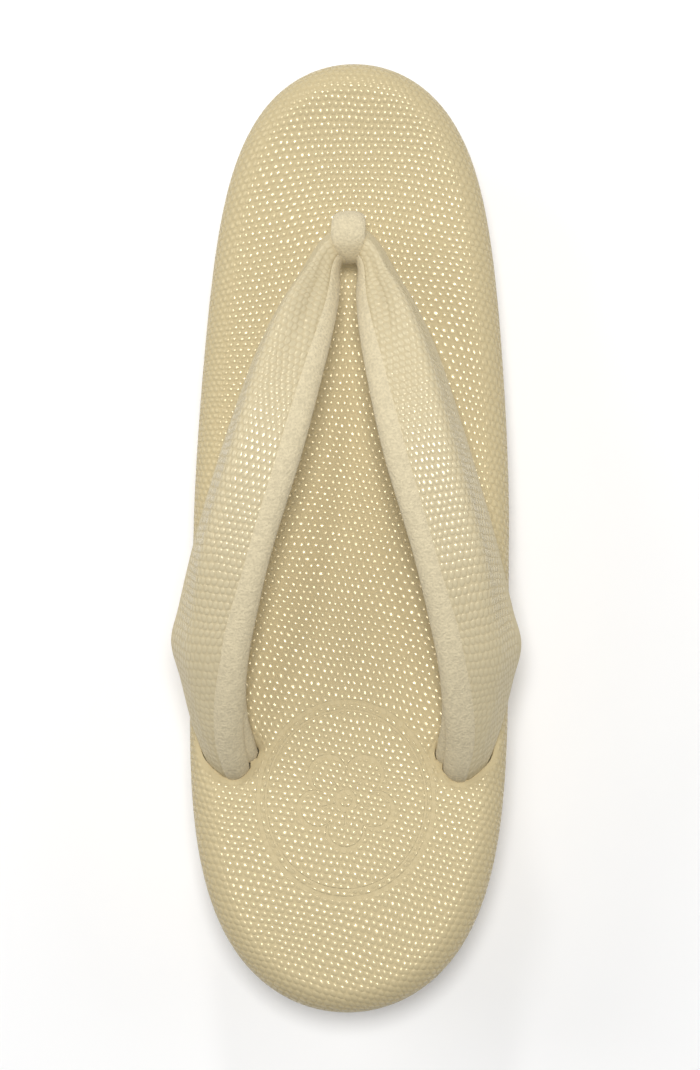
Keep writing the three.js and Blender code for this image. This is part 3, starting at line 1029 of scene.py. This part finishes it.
def leather_material(name, low, high, grain_sizes, lift, calm, pressed):
    """Grained pearl leather. Its beads are glossier than the valleys between them, and paler: partly the pearl
    finish and partly a painted highlight, while the valleys' darker colour is painted shade. calm is where the
    grain is stretched flat, and pressed where lines are stamped into it."""
    material, nodes, shader = new_material(name, IOR=1.5, Specular_IOR_Level=0.14)
    flat = nodes.add("ShaderNodeUVMap", uv_map="unrolled").outputs[0]
    grain = nodes.add("ShaderNodeGroup", node_tree=beaded_grain())
    for socket, value in {"Vector": flat, **grain_sizes}.items():
        nodes.feed(grain.inputs[socket], value)
    height = grain.outputs["Height"]
    quiet = stretched = calm(nodes)
    if pressed:
        centred = nodes.add("ShaderNodeMapping", {"Vector": flat, "Location": (0, -FLOWER_Y, 0)})
        stamp = nodes.add("ShaderNodeGroup", node_tree=pressed_flower())
        nodes.feed(stamp.inputs["Vector"], centred.outputs[0])
        line = stamp.outputs["Line"]
        # Pressed lines are calm, so they lose the beads' paler colour and take the valleys' painted shade.
        quiet = nodes.math("MAXIMUM", quiet, line)
        height = nodes.math("SUBTRACT", height, nodes.math("MULTIPLY", line, 0.5))
    nodes.feed(grain.inputs["Calm"], quiet)
    bead = grain.outputs["Bead"]
    # Bead tops and grain stretched flat take the paler colour. On the beads this is partly the pearl finish and
    # partly a painted highlight; the valleys' darker colour is painted shade.
    pale = nodes.math("ADD", bead, nodes.math("MULTIPLY", stretched, 0.75))
    colour = nodes.mix(pale, rgba(low), rgba(high))
    toned = nodes.ramp(grain.outputs["Tone"], 0.35, 0.95)
    colour = nodes.mix(nodes.math("MULTIPLY", toned, 0.16), colour, rgba(low))
    nodes.feed(shader.inputs["Base Color"], colour)
    nodes.feed(shader.inputs["Roughness"], nodes.math("SUBTRACT", 0.7, nodes.math("MULTIPLY", bead, 0.48)))
    nodes.feed(shader.inputs["Metallic"], nodes.math("MULTIPLY", bead, 0.1))
    nodes.bump(shader, height, lift)
    return material


def footbed_material():
    def lips(nodes):
        near = nodes.add("ShaderNodeAttribute", attribute_name="pocket_lip").outputs["Fac"]
        return nodes.ramp(near, 0.35, 0.6)

    colours = bpy.context.scene.zori_colours
    low, high = colours.footbed_valley, colours.footbed_bead
    grain_sizes = {"Bead pitch": 0.00165, "Row pitch": 0.0016, "Arch": 4.4, "Slant": 0.19, "Point": 2.2}
    return leather_material("footbed_grain", low, high, grain_sizes, 0.00016, lips, True)


def strap_material():
    def stretched(nodes):
        """The grain is flat along the skirt, and calmer at the strap's ends and its bend."""
        skirt, ends, bend = (0.0065, 0.01), (0.09, 0.115), (0.008, 0.024)
        flat = nodes.add("ShaderNodeSeparateXYZ", {0: nodes.add("ShaderNodeUVMap", uv_map="unrolled").outputs[0]})
        from_bend = nodes.math("ABSOLUTE", nodes.math("SUBTRACT", flat.outputs[1], STRAP_LENGTH / 2 * MM))
        by_skirt = nodes.math("MULTIPLY", nodes.math("SUBTRACT", 1.0, nodes.ramp(flat.outputs[0], *skirt)), 0.9)
        by_ends = nodes.math("MULTIPLY", nodes.ramp(from_bend, *ends), 0.28)
        by_bend = nodes.math("MULTIPLY", nodes.math("SUBTRACT", 1.0, nodes.ramp(from_bend, *bend)), 0.3)
        return nodes.math("MAXIMUM", by_skirt, nodes.math("MAXIMUM", by_ends, by_bend))

    colours = bpy.context.scene.zori_colours
    # Paler than the footbed's colours: painted light on the strap.
    low, high = colours.strap_valley, colours.strap_bead
    grain_sizes = {"Bead pitch": 0.00138, "Row pitch": 0.0017, "Point": 2.7}
    return leather_material("strap_grain", low, high, grain_sizes, 0.00015, stretched, False)


def suede_material():
    if "napped_suede" in bpy.data.materials:
        return bpy.data.materials["napped_suede"]
    colour = bpy.context.scene.zori_colours.suede
    material, nodes, shader = new_material(
        "napped_suede", Roughness=0.95, Sheen_Weight=0.12, Sheen_Roughness=0.5, Specular_IOR_Level=0.2
    )
    place = nodes.add("ShaderNodeTexCoord").outputs["Object"]
    nap = nodes.add("ShaderNodeGroup", node_tree=suede_nap())
    nodes.feed(nap.inputs["Vector"], place)
    nodes.feed(shader.inputs["Base Color"], nodes.mix(nap.outputs["Shade"], rgba(colour, 0.87), rgba(colour, 1.08)))
    nodes.bump(shader, nap.outputs["Height"], 0.00026)
    return material


def flecked_material(name, colour, roughness, scale, detail, dark, pale):
    """A matt material with a fine roughness, flecked between a dark and a pale share of its colour."""
    material, nodes, shader = new_material(name, Roughness=roughness)
    place = nodes.add("ShaderNodeTexCoord").outputs["Object"]
    flecks = nodes.add("ShaderNodeTexNoise", {"Vector": place, "Scale": scale, "Detail": detail}).outputs[0]
    nodes.feed(shader.inputs["Base Color"], nodes.mix(flecks, rgba(colour, dark), rgba(colour, pale)))
    nodes.bump(shader, flecks, 0.0001)
    return material


def foam_material():
    return flecked_material("wedge_foam", bpy.context.scene.zori_colours.foam, 0.7, 1500.0, 2.0, 0.92, 1.05)


def rubber_material():
    return flecked_material("tread_rubber", bpy.context.scene.zori_colours.rubber, 0.75, 900.0, 3.0, 0.9, 1.08)


# ---- Stage ----


def add_area_light(name, place, aim, size, watts):
    bpy.ops.object.light_add(type="AREA", location=place)
    light = bpy.context.object
    light.name = name
    light.data.shape = "DISK"
    light.data.size = size
    light.data.energy = watts
    light.rotation_euler = (Vector(aim) - Vector(place)).to_track_quat("-Z", "Y").to_euler()


class ZORI_OT_stage(bpy.types.Operator):
    """Pale floor, soft lights from above and a camera looking down on the sandal"""

    bl_idname = "zori.stage"
    bl_label = "Stage"

    def execute(self, context):
        fresh_start()
        bpy.ops.mesh.primitive_plane_add(size=6)
        floor = context.object
        floor.name = "floor"
        material, _, shader = new_material("floor", Roughness=0.9)
        shader.inputs["Base Color"].default_value = (0.93, 0.93, 0.93, 1)
        floor.data.materials.append(material)

        world = bpy.data.worlds.new("studio")
        world.use_nodes = True
        background = world.node_tree.nodes["Background"]
        background.inputs["Color"].default_value = (1, 1, 1, 1)
        background.inputs["Strength"].default_value = 0.2
        context.scene.world = world

        for light in LIGHTS:
            add_area_light(**light)

        eye = Vector(CAMERA["eye"])
        bpy.ops.object.camera_add(location=eye)
        camera = context.object
        camera.data.sensor_fit = "VERTICAL"
        camera.data.sensor_height = CAMERA["sensor"]
        camera.data.lens = CAMERA["lens"]
        look = (Vector(CAMERA["target"]) - eye).normalized()
        toe_up = Vector((0, -1, 0))
        right = look.cross(toe_up).normalized()
        up = right.cross(look).normalized()
        turn = Matrix((right, up, -look)).transposed()
        roll = Matrix.Rotation(math.radians(CAMERA["roll"]), 3, "Z")
        camera.rotation_euler = (turn @ roll).to_euler()
        context.scene.camera = camera
        context.scene.view_settings.view_transform = "Standard"
        return {"FINISHED"}


class ZORI_PT_panel(bpy.types.Panel):
    """Sizes, colours and the operators that build each piece"""

    bl_idname = "ZORI_PT_panel"
    bl_label = "Zori sandal"
    bl_space_type = "VIEW_3D"
    bl_region_type = "UI"
    bl_category = "Zori"

    def draw(self, context):
        for group in (context.scene.zori_sizes, context.scene.zori_colours):
            box = self.layout.box()
            for name in group.__annotations__:
                box.prop(group, name)
        for operator in PIECES:
            self.layout.operator(operator.bl_idname)


PIECES = (
    ZORI_OT_stage,
    ZORI_OT_outsole,
    ZORI_OT_wedge,
    ZORI_OT_footbed,
    ZORI_OT_strap,
    ZORI_OT_toe_loop,
)
CLASSES = (ZoriSizes, ZoriColours, *PIECES, ZORI_PT_panel)


def register():
    for cls in CLASSES:
        bpy.utils.register_class(cls)
    bpy.types.Scene.zori_sizes = bpy.props.PointerProperty(type=ZoriSizes)
    bpy.types.Scene.zori_colours = bpy.props.PointerProperty(type=ZoriColours)


def unregister():
    del bpy.types.Scene.zori_colours
    del bpy.types.Scene.zori_sizes
    for cls in reversed(CLASSES):
        bpy.utils.unregister_class(cls)


def main():
    register()
    bpy.ops.zori.stage()
    bpy.ops.zori.outsole()
    bpy.ops.zori.wedge()
    bpy.ops.zori.footbed()
    bpy.ops.zori.strap()
    bpy.ops.zori.toe_loop()


if __name__ == "__main__":
    main()
